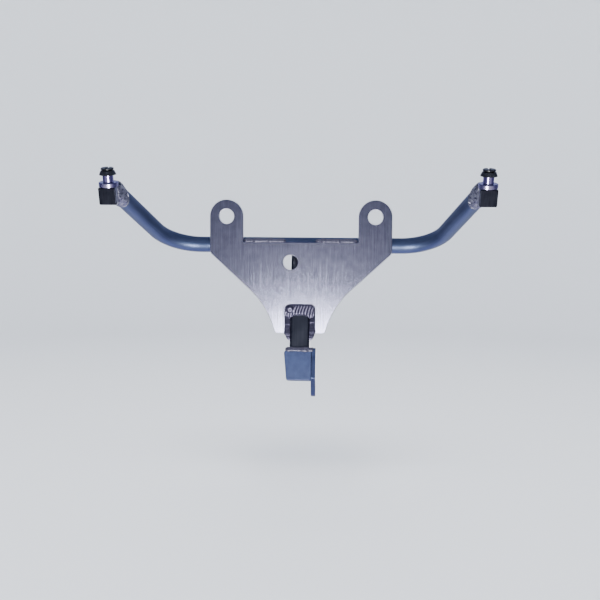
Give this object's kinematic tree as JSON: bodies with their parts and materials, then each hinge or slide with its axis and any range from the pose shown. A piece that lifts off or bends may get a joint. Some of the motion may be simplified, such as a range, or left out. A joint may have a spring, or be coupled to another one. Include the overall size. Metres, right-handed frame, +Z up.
{
  "type": "fairing stay bracket",
  "caption": "Welded fairing stay: a bent round tube with screw-topped bosses at its arm ends, behind an eared gauge plate notched for a leaning square strut with a bolted foot.",
  "frame": {"origin": "midway between the two ear holes of the gauge plate, on the plate's front face", "axes": "+X to the rider's right along the ear holes, -Y toward the rider out of the plate's front face, +Z up"},
  "size_m": [0.3494, 0.1398, 0.2203],
  "materials": {
    "plate_brushed": "brushed, grain upright",
    "tube_satin": "satin, as drawn",
    "strut_dark": "satin, as extruded",
    "foot_satin": "satin",
    "block_dark": "sawn and lightly filed",
    "boss_bright": "turned bright",
    "screw_black": "black, satin",
    "weld_metal": "rippled weld"
  },
  "bodies": {
    "root": {"gauge_plate": "plate_brushed", "cross_tube": "tube_satin", "centre_strut": "strut_dark", "headstock_lug": "strut_dark", "foot_plate": "foot_satin", "left_end_block": "block_dark", "right_end_block": "block_dark", "left_boss": "boss_bright", "right_boss": "boss_bright", "left_cup_washer": "screw_black", "right_cup_washer": "screw_black", "left_screw": "screw_black", "right_screw": "screw_black", "notch_weld": "weld_metal", "left_top_weld": "weld_metal", "right_top_weld": "weld_metal", "foot_top_weld": "weld_metal", "strut_top_weld": "weld_metal", "lug_weld": "weld_metal", "left_arm_weld": "weld_metal", "right_arm_weld": "weld_metal"}
  },
  "joints": []
}
